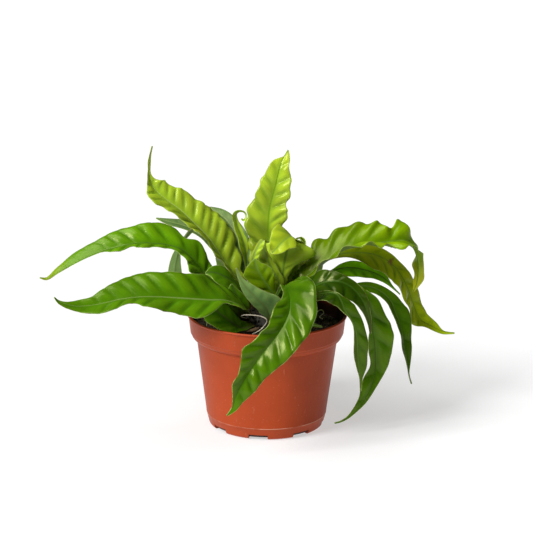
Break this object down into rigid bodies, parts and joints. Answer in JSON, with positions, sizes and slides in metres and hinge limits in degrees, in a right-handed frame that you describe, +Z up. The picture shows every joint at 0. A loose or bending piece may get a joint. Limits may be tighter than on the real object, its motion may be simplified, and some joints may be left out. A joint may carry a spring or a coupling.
{
  "type": "potted bird's-nest fern",
  "caption": "Small table-top fern with wavy, strap-shaped fronds arching from a central crown in a round terracotta-coloured plastic nursery pot.",
  "frame": {"origin": "centre of the flat underside of the pot", "axes": "+Z up along the pot's axis, -Y towards the side that the picture shows, +X to its right"},
  "size_m": [0.4154, 0.2816, 0.2716],
  "materials": {
    "pot": "terracotta-coloured injection-moulded plastic, satin, faintly scuffed",
    "soil": "dark moist peat with pale root fibres",
    "crown": "brown scaly rhizome crown",
    "root": "pale bare aerial root",
    "dry_stalk": "dry brown frond base",
    "leaf_yellow": "youngest frond, yellow-lime, satin gloss",
    "leaf_lime": "young frond, lime green, satin gloss",
    "leaf_bright": "bright green frond, glossy upper face",
    "leaf_green": "mid green frond, glossy upper face",
    "leaf_olive": "yellowing olive green frond",
    "leaf_dark": "oldest dark green frond, glossy upper face",
    "leaf_grey": "matte grey-green underside"
  },
  "bodies": {
    "root": {"pot": "pot", "soil": "soil", "crown": "crown", "left_high_frond": "leaf_lime", "left_mid_frond": "leaf_green", "left_low_frond": "leaf_green", "top_frond": "leaf_lime", "curled_young_frond": "leaf_lime", "short_right_frond": "leaf_lime", "yellow_frond": "leaf_yellow", "inner_frond": "leaf_lime", "crisped_frond": "leaf_lime", "centre_frond": "leaf_bright", "front_frond": "leaf_green", "grey_frond": "leaf_grey", "low_left_frond": "leaf_dark", "soil_left_frond": "leaf_dark", "soil_right_frond": "leaf_dark", "right_high_frond": "leaf_bright", "right_far_frond": "leaf_olive", "right_mid_frond": "leaf_green", "right_thin_frond": "leaf_dark", "right_big_frond": "leaf_dark", "right_upper_frond": "leaf_dark", "right_inner_frond": "leaf_dark", "dark_left_frond": "leaf_dark", "hanging_left_frond": "leaf_grey", "thin_left_frond": "leaf_grey", "back_grey_frond": "leaf_grey", "crozier_frond": "leaf_lime", "back_left_frond": "leaf_green", "back_middle_frond": "leaf_bright", "back_right_frond": "leaf_dark", "looped_root": "root", "left_wall_root": "root", "left_soil_root": "root", "right_soil_root": "root", "dry_stub": "dry_stalk"}
  },
  "joints": []
}
